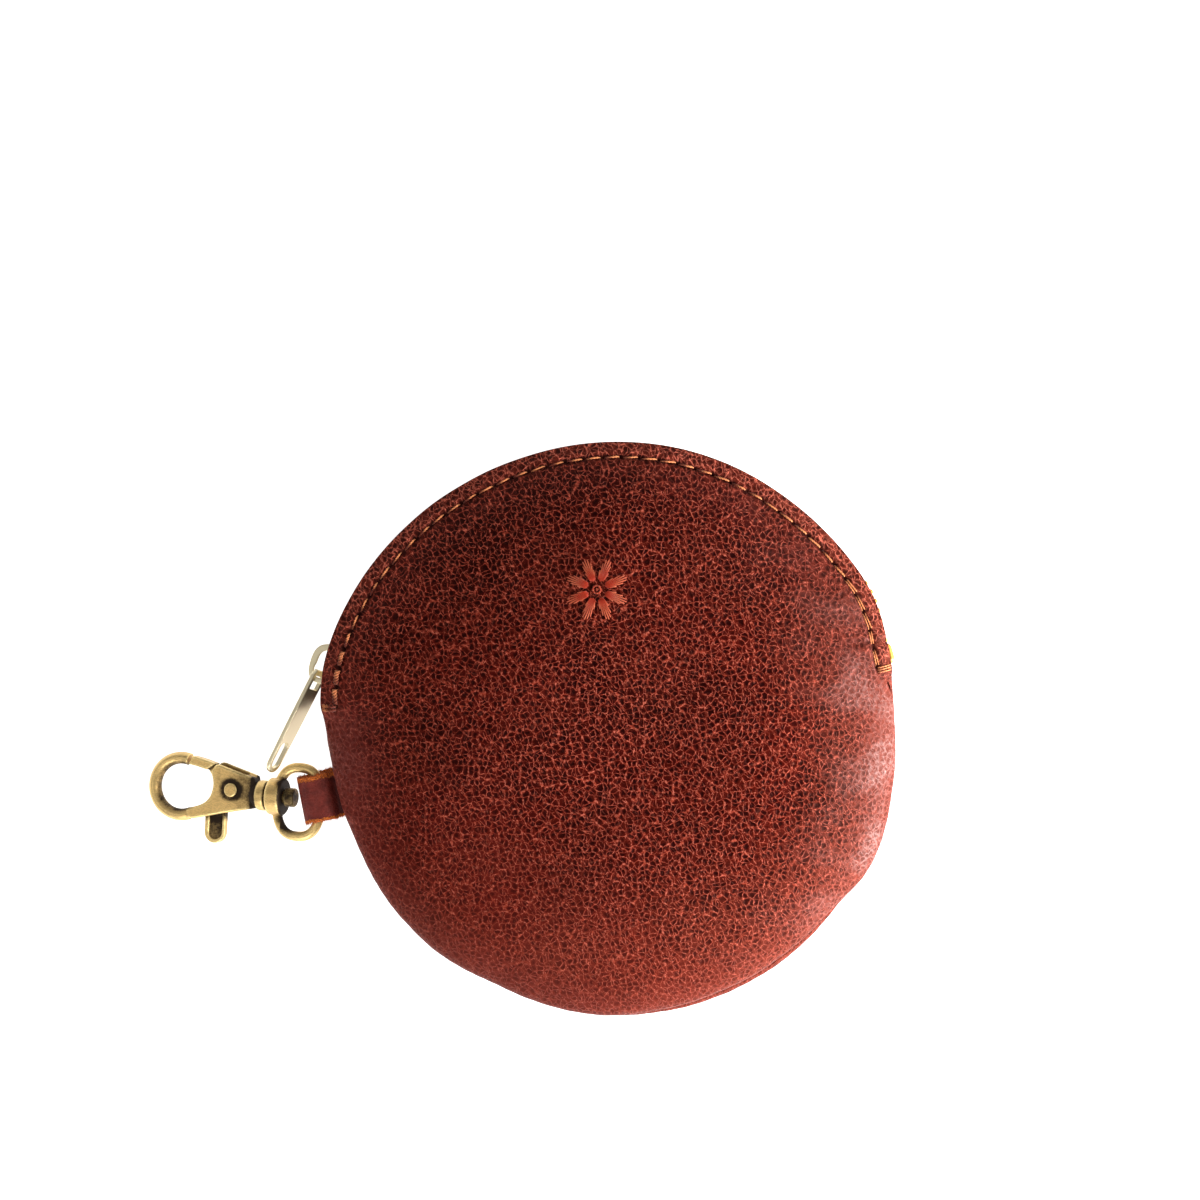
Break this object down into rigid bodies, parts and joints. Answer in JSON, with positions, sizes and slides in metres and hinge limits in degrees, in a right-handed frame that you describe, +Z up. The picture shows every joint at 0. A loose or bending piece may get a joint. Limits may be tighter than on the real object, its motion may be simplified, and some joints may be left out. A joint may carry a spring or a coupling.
{
  "type": "round zip pouch bag with swivel clasp",
  "caption": "Small round leather pouch, closed by a brass zip along its upper edge, with a snap clasp on a swivel ring held by a short leather loop at one side.",
  "frame": {"origin": "middle of the flat patch of the back panel that the pouch rests on", "axes": "+X towards the pouch's right with the clasp at its left, +Y towards the zipped top, +Z up through the front panel"},
  "size_m": [0.1508, 0.1145, 0.0239],
  "materials": {
    "leather": "pebbled red-brown leather, soft satin sheen",
    "loop_leather": "smoother red-brown strip with raw orange-brown edges",
    "zip_tape": "dark red-brown woven tape",
    "thread": "tan waxed thread",
    "zip_brass": "pale polished brass",
    "old_brass": "antique brass, brushed, with dark patina in its recesses"
  },
  "bodies": {
    "pouch": {"front_panel": "leather", "back_panel": "leather", "zip_tape_front": "zip_tape", "zip_tape_back": "zip_tape", "zip_teeth_front": "zip_brass", "zip_teeth_back": "zip_brass", "zip_bottom_stop": "zip_brass", "zip_slider": "zip_brass", "leather_loop": "loop_leather"},
    "pull": {"zip_pull": "zip_brass"},
    "ring": {"swivel_ring": "old_brass"},
    "hook": {"clasp_hook": "old_brass", "trigger_rivet": "old_brass"},
    "trigger": {"clasp_trigger": "old_brass"}
  },
  "joints": [
    {"name": "pull_swing", "type": "hinge", "parent": "pouch", "child": "pull", "pos_m": [-0.05881, 0.01088, 0.0115], "axis": [0.246, -0.1243, -0.9613], "range_deg": [-3, 118]},
    {"name": "ring_swing", "type": "hinge", "parent": "pouch", "child": "ring", "pos_m": [-0.05908, -0.01439, 0.01124], "axis": [0.0523, 0.9986, 0], "range_deg": [-7, 55]},
    {"name": "hook_swivel", "type": "hinge", "parent": "ring", "child": "hook", "pos_m": [-0.06755, -0.01394, 0.00887], "axis": [-0.9617, 0.0504, -0.2694], "continuous": true},
    {"name": "trigger_pivot", "type": "hinge", "parent": "hook", "child": "trigger", "pos_m": [-0.07662, -0.01275, 0.00632], "axis": [-0.269, 0.0141, 0.963], "range_deg": [0, 25], "stiffness_Nm_per_rad": 0.01, "springref_deg": -5.73}
  ]
}
